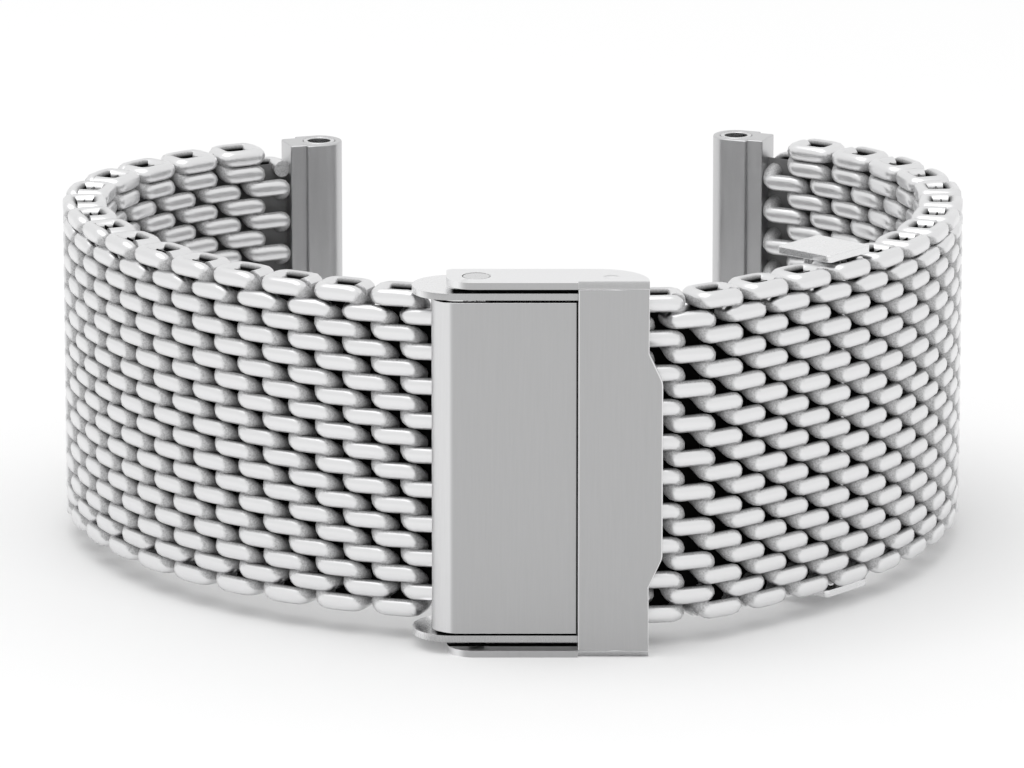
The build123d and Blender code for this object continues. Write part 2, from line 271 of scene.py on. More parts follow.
class FinishColours(bpy.types.PropertyGroup):
    """Colours of the steel, with the painted shade of its gaps and of the faces that look to the
    front.
    """

    wire: FloatVectorProperty(
        name="Wire", description="Pressed and polished face of the wire", subtype="COLOR",
        default=(0.79, 0.79, 0.795), min=0.0, max=1.0)
    wire_bend: FloatVectorProperty(
        name="Wire bend", description="Grained wire where it bends inward", subtype="COLOR",
        default=(0.64, 0.64, 0.645), min=0.0, max=1.0)
    # Painted shade: the colour the wire takes deep inside the weave and in its grooves
    wire_deep_shade: FloatVectorProperty(
        name="Deep wire", description="Wire deep inside the weave", subtype="COLOR",
        default=(0.008, 0.008, 0.008), min=0.0, max=1.0)
    # Painted shade on the band's inner side: the share of the wire's colour that its gaps keep
    inner_tone: FloatProperty(
        name="Inner tone",
        description="How much of the wire's colour the gaps of the inner side keep",
        default=0.85, min=0.0, max=1.0)
    # Satin finish and painted shade: the darker colour of the clasp's faces that look to the front
    satin: FloatVectorProperty(
        name="Satin", description="Satin front of the cover and the catch", subtype="COLOR",
        default=(0.44, 0.44, 0.443), min=0.0, max=1.0)
    # Painted light as well: on the clasp, bright, curl and polished are the colours of faces that
    # do not look to the front
    bright: FloatVectorProperty(
        name="Bright", description="Polished edges and sides of the clasp, and the bracket",
        subtype="COLOR", default=(0.83, 0.83, 0.835), min=0.0, max=1.0)
    curl: FloatVectorProperty(
        name="Curl", description="Polished curl of the cover's left edge", subtype="COLOR",
        default=(0.7, 0.7, 0.705), min=0.0, max=1.0)
    # Painted shade: the near black of the clasp's narrow gaps
    crevice_shade: FloatVectorProperty(
        name="Crevice", description="Steel in the narrow gaps of the clasp", subtype="COLOR",
        default=(0.012, 0.012, 0.012), min=0.0, max=1.0)
    polished: FloatVectorProperty(
        name="Polished", description="Turned steel of the pins, the rivets and the tubes",
        subtype="COLOR", default=(0.66, 0.66, 0.665), min=0.0, max=1.0)
    blade: FloatVectorProperty(
        name="Blades", description="Satin steel of the blades", subtype="COLOR",
        default=(0.5, 0.5, 0.505), min=0.0, max=1.0)
    end: FloatVectorProperty(
        name="Ends", description="Brushed steel of the end pieces", subtype="COLOR",
        default=(0.58, 0.58, 0.585), min=0.0, max=1.0)


class StageSizes(bpy.types.PropertyGroup):
    """Camera, floor and light."""

    focal_px: FloatProperty(
        name="Focal length", description="Focal length in pixels of the picture", default=8568.0)
    pitch: FloatProperty(
        name="Pitch", description="How far the camera looks down",
        default=radians(14.33), subtype="ANGLE")
    camera_distance: FloatProperty(
        name="Camera distance", description="From the catch's front face to the camera, level",
        default=535.4 * MM, unit="LENGTH")
    camera_height: FloatProperty(
        name="Camera height", description="Camera above the band's middle",
        default=142.6 * MM, unit="LENGTH")
    floor_colour: FloatVectorProperty(
        name="Floor", description="Colour of the floor", subtype="COLOR",
        default=(0.85, 0.85, 0.85), min=0.0, max=1.0)
    sky_strength: FloatProperty(
        name="Sky strength", description="Light of the studio's white walls", default=0.95)
    key_power: FloatProperty(
        name="Key power", description="Power of the large lamp overhead", default=0.58)
    floor_glow: FloatProperty(
        name="Floor glow", description="Light the floor adds in the picture and in reflections",
        default=0.06)


def station(plan, distance):
    """Place and turn of the strap's mid-line at a distance from its start, in the band's frame."""
    x, y, heading = 0.0, 0.0, plan["heading"]
    runs = [(None, plan["straight"])] + [(radius, radius * turn) for radius, turn in plan["arcs"]]
    rest = distance
    for number, (radius, length) in enumerate(runs, start=1):
        step = rest if number == len(runs) else min(rest, length)
        if radius is None:
            x += step * cos(heading)
            y += step * sin(heading)
        else:
            turn = step / radius
            x += radius * (sin(heading + turn) - sin(heading))
            y += radius * (cos(heading) - cos(heading + turn))
            heading += turn
        rest -= step
        if rest <= 0:
            break
    start_x, start_y = plan["start"]
    place = Vector((start_x + plan["side"] * x, start_y + y, 0.0)) + CLASP_ORIGIN
    return place, plan["side"] * heading


class Tree:
    """A short way to write node trees: a call adds a node, and most give its output."""

    def __init__(self, tree):
        self.tree = tree

    def add(self, kind, inputs=None, output=0, **settings):
        node = self.tree.nodes.new(kind)
        for name, value in settings.items():
            setattr(node, name, value)
        for key, value in (inputs or {}).items():
            self.feed(node.inputs[key], value)
        return node.outputs[output]

    def feed(self, socket, value):
        if isinstance(value, bpy.types.NodeSocket):
            self.tree.links.new(value, socket)
        else:
            socket.default_value = value

    def end(self, kind, socket, value):
        """Adds the tree's output node and feeds it."""
        self.feed(self.tree.nodes.new(kind).inputs[socket], value)

    def math(self, operation, *values):
        return self.add("ShaderNodeMath", dict(enumerate(values)), operation=operation)

    def apart(self, vector):
        """The three parts of a vector, by their letters."""
        node = self.tree.nodes.new("ShaderNodeSeparateXYZ")
        self.feed(node.inputs[0], vector)
        return node.outputs

    def join(self, parts):
        """Several pieces of geometry as one."""
        node = self.tree.nodes.new("GeometryNodeJoinGeometry")
        for part in parts:
            self.feed(node.inputs[0], part)
        return node.outputs[0]


def bare_tree(owner):
    """The emptied node tree of a material or a world."""
    owner.use_nodes = True
    owner.node_tree.nodes.clear()
    return Tree(owner.node_tree)


def new_group(name, inputs, outputs):
    """An empty geometry node group, with the kind of each named input and output."""
    group = bpy.data.node_groups.new(name, "GeometryNodeTree")
    for way, sockets in (("INPUT", inputs), ("OUTPUT", outputs)):
        for label, kind in sockets.items():
            group.interface.new_socket(name=label, in_out=way, socket_type=kind)
    return group


def rise(t, value, low, high):
    """Goes smoothly from 0 to 1 while the value goes from low to high."""
    return t.add("ShaderNodeMapRange", {"Value": value, "From Min": low, "From Max": high},
                 interpolation_type="SMOOTHSTEP")


def scaled(t, value, target, source=(0.0, 1.0)):
    """Goes evenly over the target while the value goes over the source."""
    return t.add("ShaderNodeMapRange", {
        "Value": value, "From Min": source[0], "From Max": source[1],
        "To Min": target[0], "To Max": target[1]})


def signed_power(t, value, exponent):
    """Sign of the value times its size raised to the exponent."""
    size = t.math("POWER", t.math("ABSOLUTE", value), exponent)
    return t.math("MULTIPLY", t.math("SIGN", value), size)


def stored(t, geometry, name, value):
    """The geometry with a measure stored on its points."""
    return t.add("GeometryNodeStoreNamedAttribute",
                 {"Geometry": geometry, "Name": name, "Value": value},
                 data_type="FLOAT", domain="POINT")


COIL_INPUTS = {
    "Loops": "NodeSocketInt", "Lead": "NodeSocketFloat", "Pitch": "NodeSocketFloat",
    "Half Length": "NodeSocketFloat", "Half Thickness": "NodeSocketFloat",
    "Squareness": "NodeSocketFloat", "Wire Radius": "NodeSocketFloat",
    "Samples": "NodeSocketInt", "Sides": "NodeSocketInt", "Face": "NodeSocketFloat",
    "Press Depth": "NodeSocketFloat", "Press": "NodeSocketFloat", "Lean": "NodeSocketFloat",
    "Core Length": "NodeSocketFloat", "Core Thickness": "NodeSocketFloat",
    "Inner Tone": "NodeSocketFloat",
}


def wound(t, given, last, middle):
    """A wire that goes round the coil's squarish turns and down from loop to loop."""
    turns = t.math("ADD", last, t.math("MULTIPLY", given["Lead"], 2.0))
    steps = t.math("ROUND", t.math("MULTIPLY", turns, given["Samples"]))
    count = t.math("ADD", steps, 1.0)
    line = t.add("GeometryNodeMeshLine", {"Count": count, "Offset": (0.0, 0.0, 0.0)})
    index = t.add("GeometryNodeInputIndex")
    share = t.math("DIVIDE", index, t.math("SUBTRACT", count, 1.0))
    turn = t.math("SUBTRACT", t.math("MULTIPLY", share, turns), given["Lead"])
    angle = t.math("MULTIPLY", turn, 2 * pi)
    along = signed_power(t, t.math("SINE", angle), given["Squareness"])
    inward = signed_power(t, t.math("COSINE", angle), given["Squareness"])
    x = t.math("MULTIPLY", along, given["Half Length"])
    y = t.math("MULTIPLY", t.math("MULTIPLY", inward, given["Half Thickness"]), -1.0)
    held = t.math("MINIMUM", t.math("MAXIMUM", turn, 0.0), last)
    sway = t.math("DIVIDE", t.math("SINE", t.math("MULTIPLY", held, 4 * pi)), 4 * pi)
    drop = t.math("SUBTRACT", held, t.math("MULTIPLY", sway, given["Lean"]))
    z = t.math("MULTIPLY", t.math("SUBTRACT", middle, drop), given["Pitch"])
    place = t.add("ShaderNodeCombineXYZ", {"X": x, "Y": y, "Z": z})
    bent = t.add("GeometryNodeSetPosition", {"Geometry": line, "Position": place})
    wire_line = t.add("GeometryNodeMeshToCurve", {"Mesh": bent})
    section = t.add("GeometryNodeCurvePrimitiveCircle",
                    {"Resolution": given["Sides"], "Radius": given["Wire Radius"]})
    return t.add("GeometryNodeCurveToMesh",
                 {"Curve": wire_line, "Profile Curve": section, "Fill Caps": True})


def pressed(t, given, wire):
    """The wire with what stands out at the band's two faces pressed flat."""
    place = t.apart(t.add("GeometryNodeInputPosition"))
    reach = t.math("ABSOLUTE", place["Y"])
    left = t.math("MULTIPLY", given["Press Depth"], given["Press"])
    start = t.math("SUBTRACT", given["Face"], left)
    over = t.math("MAXIMUM", t.math("SUBTRACT", reach, start), 0.0)
    depth = t.math("ADD", t.math("MINIMUM", reach, start), t.math("MULTIPLY", over, given["Press"]))
    y = t.math("MULTIPLY", t.math("SIGN", place["Y"]), depth)
    moved = t.add("ShaderNodeCombineXYZ", {"X": place["X"], "Y": y, "Z": place["Z"]})
    return t.add("GeometryNodeSetPosition", {"Geometry": wire, "Position": moved})


def shaded(t, given, top, wire):
    """The wire with two measures: its painted light and shade, which says how much of its colour
    shows, and how far it bends inward.
    """
    place = t.apart(t.add("GeometryNodeInputPosition"))
    normal = t.apart(t.add("GeometryNodeInputNormal"))
    facing = scaled(t, normal["Y"], (-1.0, 1.0), FACING_NORMAL)
    layer = t.math("DIVIDE", place["Y"], given["Face"])
    open_side = rise(t, t.math("MULTIPLY", layer, facing), *OPEN_FACING)
    groove = rise(t, t.math("ABSOLUTE", normal["Z"]), *GROOVE_NORMAL)
    above = t.math("SUBTRACT", t.math("ABSOLUTE", place["Z"]), top)
    shown = rise(t, t.math("MULTIPLY", t.math("SIGN", layer), normal["Y"]), *SHOWN_NORMAL)
    rim = t.math("MULTIPLY", rise(t, above, *RIM_HEIGHT), shown)
    painted_open_light = t.math("MULTIPLY", t.math("MULTIPLY", open_side, shown),
                  t.math("SUBTRACT", 1.0, groove))
    inner = t.math("MULTIPLY", rise(t, layer, *INNER_LAYER), rise(t, facing, *INNER_FACING))
    # Painted shade: open faces and top rims keep the wire's colour, while grooves and the deep
    # weave go near black
    painted_light_share = t.math("MAXIMUM", t.math("MAXIMUM", painted_open_light, rim),
                    t.math("MULTIPLY", inner, given["Inner Tone"]))
    bend = t.math("MULTIPLY", t.math("SUBTRACT", 1.0, t.math("ABSOLUTE", layer)),
                  t.math("SUBTRACT", 1.0, rim))
    return stored(t, stored(t, wire, "painted_light_share", painted_light_share), "bend", bend)


def painted_shade_sheet(t, given, top):
    """A dark sheet of painted shade inside a coil, which closes the view through the weave."""
    overhang = t.math("MULTIPLY", given["Wire Radius"], CORE_OVERHANG)
    height = t.math("MULTIPLY", t.math("ADD", top, overhang), 2.0)
    size = t.add("ShaderNodeCombineXYZ",
                 {"X": given["Core Length"], "Y": given["Core Thickness"], "Z": height})
    block = t.add("GeometryNodeMeshCube", {"Size": size})
    place = t.apart(t.add("GeometryNodeInputPosition"))
    tone = t.math("MULTIPLY", t.math("GREATER_THAN", place["Y"], 0.0),
                  t.math("MULTIPLY", given["Inner Tone"], CORE_TONE))
    return stored(t, block, "painted_light_share", tone)


def coil_group():
    """Node group that winds one flat coil of wire, presses its faces, marks its painted shade and
    adds a sheet of painted shade inside.
    """
    group = new_group("wound coil", COIL_INPUTS, {"Coil": "NodeSocketGeometry"})
    t = Tree(group)
    given = group.nodes.new("NodeGroupInput").outputs
    last = t.math("SUBTRACT", given["Loops"], 1.0)
    middle = t.math("DIVIDE", last, 2.0)
    top = t.math("MULTIPLY", middle, given["Pitch"])
    wire = shaded(t, given, top, pressed(t, given, wound(t, given, last, middle)))
    smooth = t.add("GeometryNodeSetShadeSmooth", {"Geometry": wire, "Shade Smooth": True})
    t.end("NodeGroupOutput", "Coil", t.join([painted_shade_sheet(t, given, top), smooth]))
    return group


def weave_group(coil):
    """Node group that sets high and low coils on a strap's stations."""
    shared = {name: kind for name, kind in COIL_INPUTS.items() if name not in ("Loops", "Lead")}
    group = new_group(
        "woven strap",
        {"Geometry": "NodeSocketGeometry", "High Loops": "NodeSocketInt",
         "High Lead": "NodeSocketFloat", "Low Lead": "NodeSocketFloat", **shared,
         "Steel": "NodeSocketMaterial"},
        {"Geometry": "NodeSocketGeometry"})
    t = Tree(group)
    given = group.nodes.new("NodeGroupInput").outputs
    heading = t.add("GeometryNodeInputNamedAttribute", {"Name": "heading"}, data_type="FLOAT")
    high = t.add("GeometryNodeInputNamedAttribute", {"Name": "high"}, data_type="BOOLEAN",
                 output="Attribute")
    low = t.add("FunctionNodeBooleanMath", {0: high}, operation="NOT")
    turn = t.add("ShaderNodeCombineXYZ", {"Z": heading})
    low_loops = t.math("SUBTRACT", given["High Loops"], 1.0)
    coils = []
    for selection, loops, lead in ((high, given["High Loops"], given["High Lead"]),
                                   (low, low_loops, given["Low Lead"])):
        feeds = {name: given[name] for name in shared}
        feeds.update({"Loops": loops, "Lead": lead})
        one = t.add("GeometryNodeGroup", feeds, node_tree=coil)
        coils.append(t.add("GeometryNodeInstanceOnPoints",
                           {"Points": given["Geometry"], "Selection": selection,
                            "Instance": one, "Rotation": turn}))
    real = t.add("GeometryNodeRealizeInstances", {"Geometry": t.join(coils)})
    dressed = t.add("GeometryNodeSetMaterial", {"Geometry": real, "Material": given["Steel"]})
    t.end("NodeGroupOutput", "Geometry", dressed)
    return group


def coil_points(name, plan, first, count, spacing):
    """A point for each coil of a group, with its heading and whether the coil is a high one."""
    numbers = range(first, first + count)
    stops = [station(plan, plan["first_coil"] + number * spacing) for number in numbers]
    mesh = bpy.data.meshes.new(name)
    mesh.from_pydata([place for place, turn in stops], [], [])
    heading = mesh.attributes.new("heading", "FLOAT", "POINT")
    heading.data.foreach_set("value", [turn for place, turn in stops])
    high = mesh.attributes.new("high", "BOOLEAN", "POINT")
    high.data.foreach_set("value", [number % 2 == 1 for number in numbers])
    return mesh


def grow(obj):
    """Turns an object's modifiers into its mesh."""
    bpy.context.view_layer.update()
    graph = bpy.context.evaluated_depsgraph_get()
    mesh = bpy.data.meshes.new_from_object(obj.evaluated_get(graph), depsgraph=graph)
    obj.modifiers.clear()
    obj.data = mesh
    mesh.name = obj.name


def new_object(name, mesh):
    """A mesh object in the scene, at the origin."""
    obj = bpy.data.objects.new(name, mesh)
    bpy.context.scene.collection.objects.link(obj)
    return obj


def surface(name):
    """A new metal material: its node writer and its principled node."""
    material = bpy.data.materials.new(name)
    t = bare_tree(material)
    shader = material.node_tree.nodes.new("ShaderNodeBsdfPrincipled")
    shader.inputs["Metallic"].default_value = 1.0
    shader.inputs["Specular IOR Level"].default_value = 0.0
    t.end("ShaderNodeOutputMaterial", "Surface", shader.outputs["BSDF"])
    return material, t, shader


def axes(t, output):
    """The object-space position or normal, split into its three parts."""
    return t.apart(t.add("ShaderNodeTexCoord", output=output))


def mixed(t, factor, first, second, blend="MIX"):
    """Blend of two colours, each given as three numbers or as a socket."""
    ends = [value if isinstance(value, bpy.types.NodeSocket) else (*value, 1.0)
            for value in (first, second)]
    return t.add("ShaderNodeMix", {"Factor": factor, "A": ends[0], "B": ends[1]},
                 output="Result", data_type="RGBA", blend_type=blend)


def brush(t, shader, colour, roughness, grain):
    """Brushing over a colour: tint, roughness and bumps follow one stretched noise."""
    cells, bump = grain
    space = t.add("ShaderNodeTexCoord", output="Object")
    stretched = t.add("ShaderNodeMapping", {"Vector": space, "Scale": cells})
    lines = t.add("ShaderNodeTexNoise", {"Vector": stretched, **BRUSH_NOISE})
    tint = mixed(t, 1.0, colour, scaled(t, lines, BRUSH_TINT), "MULTIPLY")
    rough = scaled(t, lines, [roughness * share for share in BRUSH_ROUGHNESS])
    raised = t.add("ShaderNodeBump", {"Strength": bump, "Distance": RELIEF_DEPTH, "Height": lines})
    t.feed(shader.inputs["Base Color"], tint)
    t.feed(shader.inputs["Roughness"], rough)
    t.feed(shader.inputs["Normal"], raised)


def steel(name, colour, roughness, grain):
    """A plain steel of one colour with brushing."""
    material, t, shader = surface(name)
    brush(t, shader, colour, roughness, grain)
    return material


def front_shaded_steel(name, colours, bright, roughness, satin, gap_shade):
    """Satin finish and painted shade where the face looks to the front, bright elsewhere, and
    painted shade near black in the narrow gaps.
    """
    material, t, shader = surface(name)
    normal = axes(t, "Normal")
    # Painted shade: faces that look to the front take the darker colour, the others the bright one
    front = rise(t, t.math("MULTIPLY", normal["Y"], -1.0), *satin)
    # Painted shade: the narrow gaps take the near black colour and lose their metal
    dark = gap_shade(t, normal)
    colour = mixed(t, dark, mixed(t, front, bright, colours.satin), colours.crevice_shade)
    t.feed(shader.inputs["Metallic"], t.math("SUBTRACT", 1.0, dark))
    brush(t, shader, colour, roughness, CLASP_GRAIN)
    return material


def past(start, span):
    """A pair of distances, counted from a start."""
    return [start + distance for distance in span]


def outward(t, place, normal):
    """How squarely a face looks away from the band's middle, across the band."""
    height = t.math("SUBTRACT", place["Z"], BAND_MIDDLE)
    return t.math("MULTIPLY", t.math("SIGN", height), normal["Z"])


def cover_gap_shade(t, normal):
    """Painted shade on the cover's long sides, and a painted shadow line under the catch's edge."""
    side = rise(t, t.math("ABSOLUTE", normal["Z"]), *COVER_SIDE_NORMAL)
    line_x = CLASP_ORIGIN.x + CATCH_EDGE_X - CATCH_LINE_BACK
    off = t.math("ABSOLUTE", t.math("SUBTRACT", axes(t, "Object")["X"], line_x))
    return t.math("MAXIMUM", side, rise(t, off, *CATCH_LINE_WIDTH))


def catch_gap_shade(t, normal):
    """Painted shade on a strip of the ears' inner faces, a little behind their front edges."""
    place = axes(t, "Object")
    inward = t.math("MULTIPLY", outward(t, place, normal), -1.0)
    strip = t.math("MULTIPLY", rise(t, place["Y"], *past(CATCH_LOW.y, EAR_STRIP_START)),
                   rise(t, place["Y"], *past(CATCH_LOW.y, EAR_STRIP_END)))
    return t.math("MULTIPLY", rise(t, inward, *EAR_NORMAL), strip)


def frame_gap_shade(t, normal):
    """Painted shade on the walls' inner faces beside the cover, and on their outer faces behind the
    ears' edges.
    """
    place = axes(t, "Object")
    away = outward(t, place, normal)
    beside = t.math("MULTIPLY", rise(t, place["X"], *past(COVER_LOW.x, BESIDE_COVER_START)),
                    rise(t, place["Y"], *past(COVER_HIGH.y, BESIDE_COVER_DEPTH)))
    under = t.math("MULTIPLY", rise(t, place["X"], *past(CATCH_LOW.x, UNDER_EAR_START)),
                   rise(t, place["Y"], *past(CATCH_LOW.y, EAR_STRIP_END)))
    inner = t.math("MULTIPLY", rise(t, away, *WALL_INNER_NORMAL), beside)
    outer = t.math("MULTIPLY", rise(t, away, *WALL_OUTER_NORMAL), under)
    return t.math("MAXIMUM", inner, outer)


def rivet_gap_shade(t, normal):
    """Painted shade on the rivets' shanks below their heads, and on the rounded edge round each
    head.
    """
    height = t.math("ABSOLUTE", t.math("SUBTRACT", axes(t, "Object")["Z"], BAND_MIDDLE))
    head = CATCH_HIGH.z - BAND_MIDDLE - RIVET_HEAD
    edge = rise(t, t.math("ABSOLUTE", normal["Z"]), *RIVET_EDGE_NORMAL)
    return t.math("MAXIMUM", rise(t, height, *past(head, RIVET_SHANK)),
                  t.math("MULTIPLY", edge, RIVET_EDGE_SHADE))


def wire_steel(colours):
    """Polished wire, grained where it bends inward, with painted shade that takes it near black
    between its neighbours.
    """
    material, t, shader = surface("woven_wire")
    painted_light_share = t.add("ShaderNodeAttribute", output="Fac", attribute_name="painted_light_share")
    bend = t.add("ShaderNodeAttribute", output="Fac", attribute_name="bend")
    curved = rise(t, bend, *BEND_GRAIN)
    space = t.add("ShaderNodeTexCoord", output="Object")
    grain = t.add("ShaderNodeTexNoise", {"Vector": space, **BEND_NOISE})
    speckle = scaled(t, grain, SPECKLE_TINT, SPECKLE_NOISE)
    bare = mixed(t, curved, colours.wire, colours.wire_bend)
    grained = mixed(t, curved, bare, speckle, "MULTIPLY")
    rough = scaled(t, t.math("MULTIPLY", grain, curved), BEND_ROUGHNESS)
    raised = t.add("ShaderNodeBump", {"Strength": t.math("MULTIPLY", curved, BEND_BUMP),
                                      "Distance": RELIEF_DEPTH, "Height": grain})
    metal = t.math("SUBTRACT", 1.0, t.math("MULTIPLY", curved, BEND_SCATTER))
    t.feed(shader.inputs["Metallic"], t.math("MULTIPLY", painted_light_share, metal))
    # Painted shade: where the light share falls, the colour goes to the deep shade and the metal
    # goes
    t.feed(shader.inputs["Base Color"], mixed(t, painted_light_share, colours.wire_deep_shade, grained))
    t.feed(shader.inputs["Roughness"], rough)
    t.feed(shader.inputs["Normal"], raised)
    return material


def front_edges(form):
    """The sharp outline of the catch's front plane, up to where its folds start."""
    depth = CATCH_LOW.y + OUTLINE_TOLERANCE
    reach = CATCH_HIGH.z - BAND_MIDDLE - CATCH_FOLD + OUTLINE_TOLERANCE
    return [
        edge for edge in form.edges
        if len(edge.link_faces) == 2 and edge.calc_face_angle() > OUTLINE_ANGLE
        and all(vert.co.y < depth and abs(vert.co.z - BAND_MIDDLE) < reach for vert in edge.verts)]


def dress(node, edge, material, rounded=None):
    """A copy of a CAD node with merged faces and broken edges, which stands for that node."""
    mesh = frame["nodes"][node].data.copy()
    form = bmesh.new()
    form.from_mesh(mesh)
    bmesh.ops.remove_doubles(form, verts=form.verts, dist=WELD_DISTANCE)
    bmesh.ops.dissolve_limit(form, angle_limit=FLAT_ANGLE, verts=form.verts, edges=form.edges)
    if rounded:
        bmesh.ops.bevel(form, geom=rounded(form), offset=edge, offset_type="OFFSET",
                        segments=OUTLINE_SEGMENTS, profile=0.5, affect="EDGES",
                        clamp_overlap=False)
    form.to_mesh(mesh)
    form.free()
    mesh.materials.clear()
    mesh.materials.append(material)
    piece = new_object("dressed_" + node, mesh)
    if not rounded:
        bevel = piece.modifiers.new("broken edge", "BEVEL")
        bevel.width = edge
        bevel.segments = BEVEL_SEGMENTS
        bevel.limit_method = "ANGLE"
        bevel.angle_limit = BEVEL_ANGLE
        grow(piece)
    piece.data.polygons.foreach_set("use_smooth", [True] * len(piece.data.polygons))
    piece.data.set_sharp_from_angle(angle=SHARP_ANGLE)
    even = piece.modifiers.new("even normals", "WEIGHTED_NORMAL")
    even.keep_sharp = True
    even.weight = LARGE_FACE_WEIGHT
    grow(piece)
    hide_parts(node)
    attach(piece, NODE_BODY[node])


class MESHBAND_OT_weave(bpy.types.Operator):
    """Weaves both straps from wire coils, one mesh for each body that moves by itself"""

    bl_idname = "meshband.weave"
    bl_label = "Weave Straps"

    def execute(self, context):
        sizes = context.scene.strap_sizes
        colours = context.scene.finish_colours
        group = weave_group(coil_group())
        wire = wire_steel(colours)
        radius = sizes.wire_width / 2
        face = sizes.mesh_thickness / 2
        inputs = {
            "High Loops": sizes.loops, "High Lead": HIGH_LEAD, "Low Lead": LOW_LEAD,
            "Pitch": (sizes.band_width - sizes.wire_width) / (sizes.loops - 1),
            "Half Length": sizes.loop_length / 2 - radius,
            "Half Thickness": face - radius + sizes.press_depth * (1 - sizes.press_share),
            "Squareness": sizes.squareness_share, "Wire Radius": radius,
            "Samples": sizes.turn_samples, "Sides": sizes.wire_sides, "Face": face,
            "Press Depth": sizes.press_depth, "Press": sizes.press_share, "Lean": sizes.lean,
            "Core Thickness": sizes.core_thickness, "Inner Tone": colours.inner_tone,
            "Steel": wire,
        }
        for side, plan in STRAP_PLANS.items():
            first = 0
            for number, count in enumerate(plan["groups"], start=1):
                node = f"{side}_mesh_{number}"
                name = "woven_" + node
                piece = new_object(name, coil_points(name, plan, first, count, sizes.coil_spacing))
                first += count
                last = number == len(plan["groups"])
                inputs["Core Length"] = sizes.last_core_length if last else sizes.core_length
                modifier = piece.modifiers.new("woven strap", "NODES")
                modifier.node_group = group
                for item in group.interface.items_tree:
                    if item.in_out == "INPUT" and item.name in inputs:
                        modifier[item.identifier] = inputs[item.name]
                grow(piece)
                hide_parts(node)
                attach(piece, NODE_BODY[node])
        return {"FINISHED"}


class MESHBAND_OT_clasp(bpy.types.Operator):
    """Dresses the clasp's cover, frame and safety catch"""

    bl_idname = "meshband.clasp"
    bl_label = "Dress Clasp"

    def execute(self, context):
        edges = context.scene.edge_sizes
        colours = context.scene.finish_colours
        # These paint shade on the faces that look to the front and in the narrow gaps
        cover = front_shaded_steel("satin_cover_painted_shade", colours, colours.curl, SATIN_ROUGHNESS,
                            COVER_FRONT_SHADE, cover_gap_shade)
        catch = front_shaded_steel("brushed_catch_painted_shade", colours, colours.bright, SATIN_ROUGHNESS,
                            CATCH_FRONT_SHADE, catch_gap_shade)
        walls = front_shaded_steel("polished_frame_painted_shade", colours, colours.bright, POLISHED_ROUGHNESS,
                            FRAME_FRONT_SHADE, frame_gap_shade)
        dress("cover_plate", edges.sheet_edge, cover)
        dress("safety_catch", edges.catch_edge, catch, front_edges)
        dress("clasp_frame", edges.sheet_edge, walls)
        return {"FINISHED"}


class MESHBAND_OT_blades(bpy.types.Operator):
    """Dresses the fold-over blades and the sizing bracket"""

    bl_idname = "meshband.blades"
    bl_label = "Dress Blades"

    def execute(self, context):
        edges = context.scene.edge_sizes
        colours = context.scene.finish_colours
        blade = steel("satin_blade", colours.blade, SATIN_ROUGHNESS, BLADE_GRAIN)
        bracket = steel("polished_bracket", colours.bright, POLISHED_ROUGHNESS, BRACKET_GRAIN)
        dress("upper_blade", edges.blade_edge, blade)
        dress("lower_blade", edges.blade_edge, blade)
        dress("size_bracket", edges.sheet_edge, bracket)
        return {"FINISHED"}


class MESHBAND_OT_pins(bpy.types.Operator):
    """Dresses the pins, the rivets and the spring bar tubes"""

    bl_idname = "meshband.pins"
    bl_label = "Dress Pins"

    def execute(self, context):
        edges = context.scene.edge_sizes
        colours = context.scene.finish_colours
        turned = steel("turned_pin", colours.polished, POLISHED_ROUGHNESS, PIN_GRAIN)
        # Painted shade on the faces that look to the front, on the shank and at the head's edge
        rivets = front_shaded_steel("turned_rivet_painted_shade", colours, colours.polished, POLISHED_ROUGHNESS,
                             RIVET_FRONT_SHADE, rivet_gap_shade)
        dress("catch_rivets", edges.pin_edge, rivets)
        for node in ("sizing_pin", "bracket_pin", "upper_hinge_pin", "lower_hinge_pin", "link_pin",
                     "left_bar_tube", "right_bar_tube"):
            dress(node, edges.pin_edge, turned)
        return {"FINISHED"}


class MESHBAND_OT_ends(bpy.types.Operator):
    """Dresses the two end pieces"""

    bl_idname = "meshband.ends"
    bl_label = "Dress Ends"

    def execute(self, context):
        edges = context.scene.edge_sizes
        ends = steel("brushed_end", context.scene.finish_colours.end, END_ROUGHNESS, END_GRAIN)
        dress("left_end_piece", edges.end_edge, ends)
        dress("right_end_piece", edges.end_edge, ends)
        return {"FINISHED"}


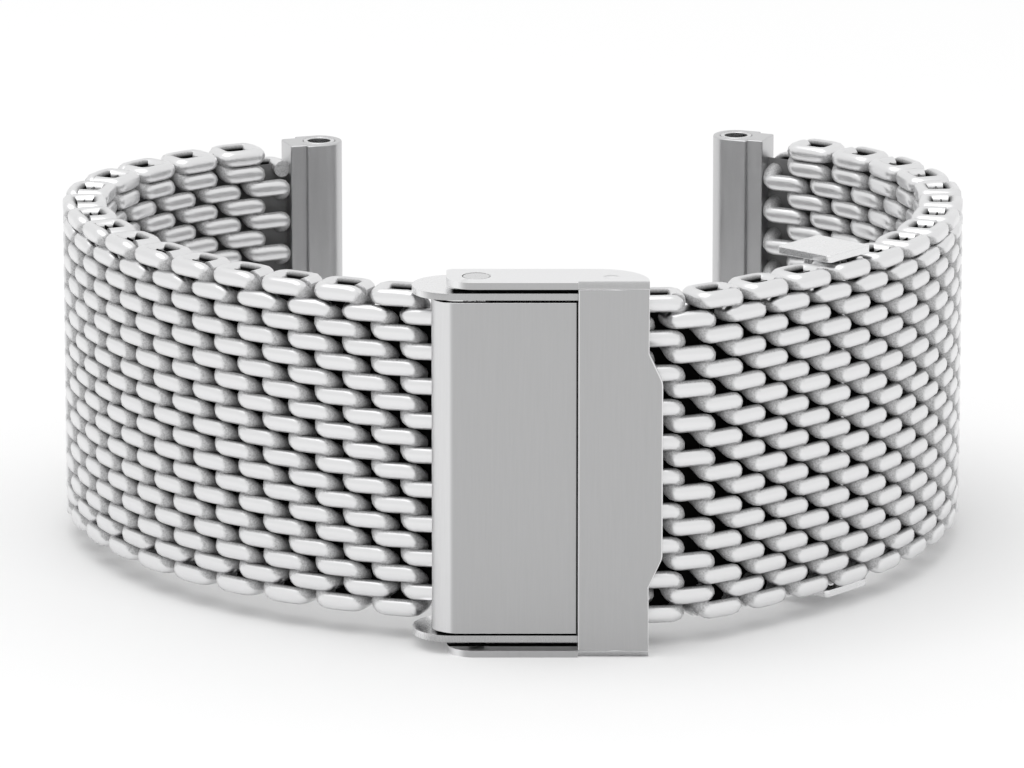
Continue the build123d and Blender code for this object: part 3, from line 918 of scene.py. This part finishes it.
class MESHBAND_OT_stage(bpy.types.Operator):
    """Sets the camera, the pale floor and soft light"""

    bl_idname = "meshband.stage"
    bl_label = "Set Stage"

    def execute(self, context):
        sizes = context.scene.stage_sizes
        self.aim_camera(context.scene, sizes)
        self.lay_floor(sizes)
        self.light(context.scene, sizes)
        return {"FINISHED"}

    def aim_camera(self, scene, sizes):
        data = bpy.data.cameras.new("camera")
        data.sensor_fit = "HORIZONTAL"
        data.sensor_width = SENSOR_WIDTH_MM
        data.lens = SENSOR_WIDTH_MM * sizes.focal_px / PICTURE_WIDTH_PX
        data.clip_start = CLIP_START
        data.clip_end = CLIP_END
        camera = bpy.data.objects.new("camera", data)
        camera.location = CLASP_ORIGIN + Vector((0, -sizes.camera_distance, sizes.camera_height))
        camera.rotation_euler = (pi / 2 - sizes.pitch, 0, 0)
        scene.collection.objects.link(camera)
        scene.camera = camera
        scene.view_settings.view_transform = "Standard"

    def lay_floor(self, sizes):
        mesh = bpy.data.meshes.new("floor")
        corners = [(-FLOOR_REACH, -FLOOR_REACH, 0), (FLOOR_REACH, -FLOOR_REACH, 0),
                   (FLOOR_REACH, FLOOR_REACH, 0), (-FLOOR_REACH, FLOOR_REACH, 0)]
        mesh.from_pydata(corners, [], [(0, 1, 2, 3)])
        floor = new_object("floor", mesh)
        material = bpy.data.materials.new("pale_floor")
        t = bare_tree(material)
        diffuse = t.add("ShaderNodeBsdfDiffuse", {"Color": (*sizes.floor_colour, 1.0)})
        glow = t.add("ShaderNodeEmission", {"Color": WHITE, "Strength": sizes.floor_glow})
        rays = t.tree.nodes.new("ShaderNodeLightPath").outputs
        seen = t.math("MAXIMUM", rays["Is Camera Ray"], rays["Is Glossy Ray"])
        lifted = t.add("ShaderNodeAddShader", {0: diffuse, 1: glow})
        blend = t.add("ShaderNodeMixShader", {0: seen, 1: diffuse, 2: lifted})
        t.end("ShaderNodeOutputMaterial", "Surface", blend)
        mesh.materials.append(material)

    def light(self, scene, sizes):
        world = bpy.data.worlds.new("studio")
        t = bare_tree(world)
        sky = t.add("ShaderNodeBackground", {"Color": WHITE, "Strength": sizes.sky_strength})
        t.end("ShaderNodeOutputWorld", "Surface", sky)
        scene.world = world
        lamp = bpy.data.lights.new("overhead", "AREA")
        lamp.shape = "RECTANGLE"
        lamp.size = LAMP_WIDTH
        lamp.size_y = LAMP_DEPTH
        lamp.energy = sizes.key_power
        overhead = bpy.data.objects.new("overhead", lamp)
        overhead.location = LAMP_PLACE
        overhead.rotation_euler = (-LAMP_PLACE).to_track_quat("-Z", "Y").to_euler()
        scene.collection.objects.link(overhead)


class MESHBAND_PT_panel(bpy.types.Panel):
    """Lists the steps that dress the band"""

    bl_idname = "MESHBAND_PT_panel"
    bl_label = "Mesh Band"
    bl_space_type = "VIEW_3D"
    bl_region_type = "UI"
    bl_category = "Mesh Band"

    def draw(self, context):
        layout = self.layout
        for step in STEPS:
            layout.operator(step.bl_idname)
        for name in PROPERTY_GROUPS:
            settings = getattr(context.scene, name)
            box = layout.box()
            for prop in settings.bl_rna.properties:
                if not prop.is_readonly and prop.identifier != "name":
                    box.prop(settings, prop.identifier)


STEPS = (MESHBAND_OT_stage, MESHBAND_OT_weave, MESHBAND_OT_clasp, MESHBAND_OT_blades,
         MESHBAND_OT_pins, MESHBAND_OT_ends)
PROPERTY_GROUPS = {
    "strap_sizes": StrapSizes, "edge_sizes": EdgeSizes, "finish_colours": FinishColours,
    "stage_sizes": StageSizes,
}


def register():
    for kind in PROPERTY_GROUPS.values():
        bpy.utils.register_class(kind)
    for step in STEPS:
        bpy.utils.register_class(step)
    bpy.utils.register_class(MESHBAND_PT_panel)
    for name, kind in PROPERTY_GROUPS.items():
        setattr(bpy.types.Scene, name, PointerProperty(type=kind))


def unregister():
    for name in PROPERTY_GROUPS:
        delattr(bpy.types.Scene, name)
    bpy.utils.unregister_class(MESHBAND_PT_panel)
    for step in reversed(STEPS):
        bpy.utils.unregister_class(step)
    for kind in reversed(list(PROPERTY_GROUPS.values())):
        bpy.utils.unregister_class(kind)


def main():
    import json
    register()
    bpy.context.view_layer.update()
    for step in STEPS:
        area, name = step.bl_idname.split(".")
        getattr(getattr(bpy.ops, area), name)()


if __name__ == "__main__":
    main()
